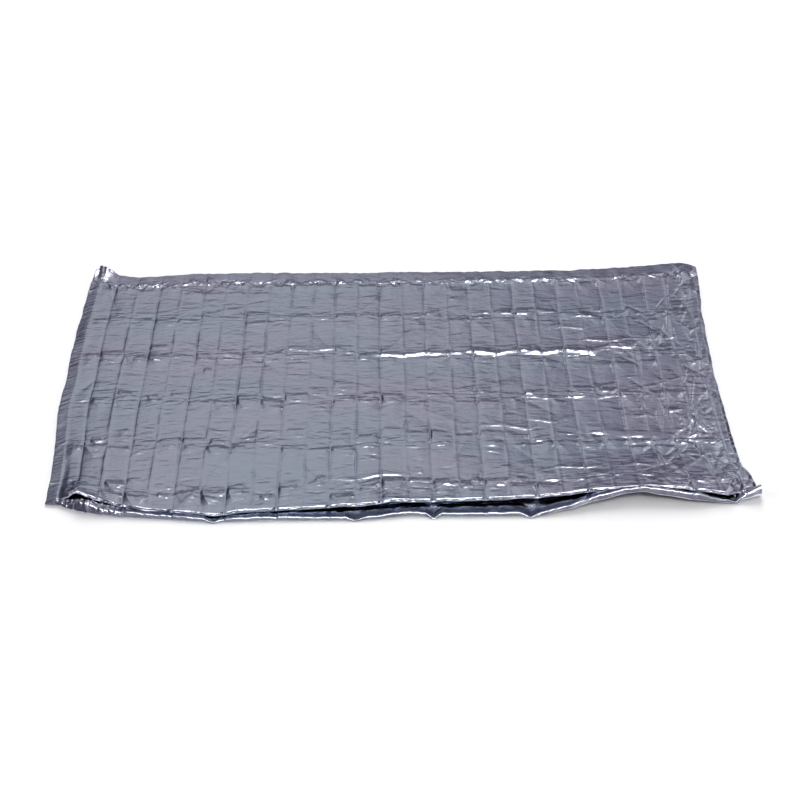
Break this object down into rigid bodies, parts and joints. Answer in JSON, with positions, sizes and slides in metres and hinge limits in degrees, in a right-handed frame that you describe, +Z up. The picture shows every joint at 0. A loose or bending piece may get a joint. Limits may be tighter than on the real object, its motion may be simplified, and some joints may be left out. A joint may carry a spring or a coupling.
{
  "type": "emergency sleeping bag",
  "caption": "Flat emergency sleeping bag of metallised film, welded along both ends and the foot, open at the mouth, which folds up along its row creases.",
  "frame": {"origin": "middle of the bag's box on its underside, where it lies on the ground", "axes": "+X along the long side, +Y from the open mouth to the welded foot, +Z up"},
  "size_m": [2, 1, 0.03],
  "materials": {
    "film": "bright metallised film with fold creases and fine wrinkles",
    "seal": "heat-welded metallised film, puckered",
    "lip": "bright turned edge of metallised film"
  },
  "bodies": {
    "foot_row": {"foot_seal": "seal", "foot_row_top_film": "film", "foot_row_bottom_film": "film", "foot_row_left_seal": "seal", "foot_row_right_seal": "seal"},
    "row_2": {"row_2_top_film": "film", "row_2_bottom_film": "film", "row_2_left_seal": "seal", "row_2_right_seal": "seal"},
    "row_3": {"row_3_top_film": "film", "row_3_bottom_film": "film", "row_3_left_seal": "seal", "row_3_right_seal": "seal"},
    "row_4": {"row_4_top_film": "film", "row_4_bottom_film": "film", "row_4_left_seal": "seal", "row_4_right_seal": "seal"},
    "mouth_row": {"mouth_row_top_film": "film", "mouth_row_bottom_film": "film", "mouth_row_left_seal": "seal", "mouth_row_right_seal": "seal", "mouth_row_left_gusset": "film", "mouth_row_right_gusset": "film", "lower_lip": "lip"},
    "mouth_flap": {"mouth_flap_top_film": "film", "upper_lip": "lip"}
  },
  "joints": [
    {"name": "fold_1", "type": "hinge", "parent": "foot_row", "child": "row_2", "pos_m": [0, 0.274, 0.0143], "axis": [-1, 0, 0], "range_deg": [0, 178]},
    {"name": "fold_2", "type": "hinge", "parent": "row_2", "child": "row_3", "pos_m": [0, 0.098, -0.0003], "axis": [1, 0, 0], "range_deg": [0, 178]},
    {"name": "fold_3", "type": "hinge", "parent": "row_3", "child": "row_4", "pos_m": [0, -0.078, 0.0143], "axis": [-1, 0, 0], "range_deg": [0, 178]},
    {"name": "fold_4", "type": "hinge", "parent": "row_4", "child": "mouth_row", "pos_m": [0, -0.254, -0.0003], "axis": [1, 0, 0], "range_deg": [0, 178]},
    {"name": "mouth_open", "type": "hinge", "parent": "mouth_row", "child": "mouth_flap", "pos_m": [0, -0.28, 0.0161], "axis": [-1, 0, 0], "range_deg": [0, 35]}
  ],
  "couplings": [
    {"joint": "fold_2", "follows": "fold_1", "ratio": 1},
    {"joint": "fold_3", "follows": "fold_1", "ratio": 1},
    {"joint": "fold_4", "follows": "fold_1", "ratio": 1}
  ]
}
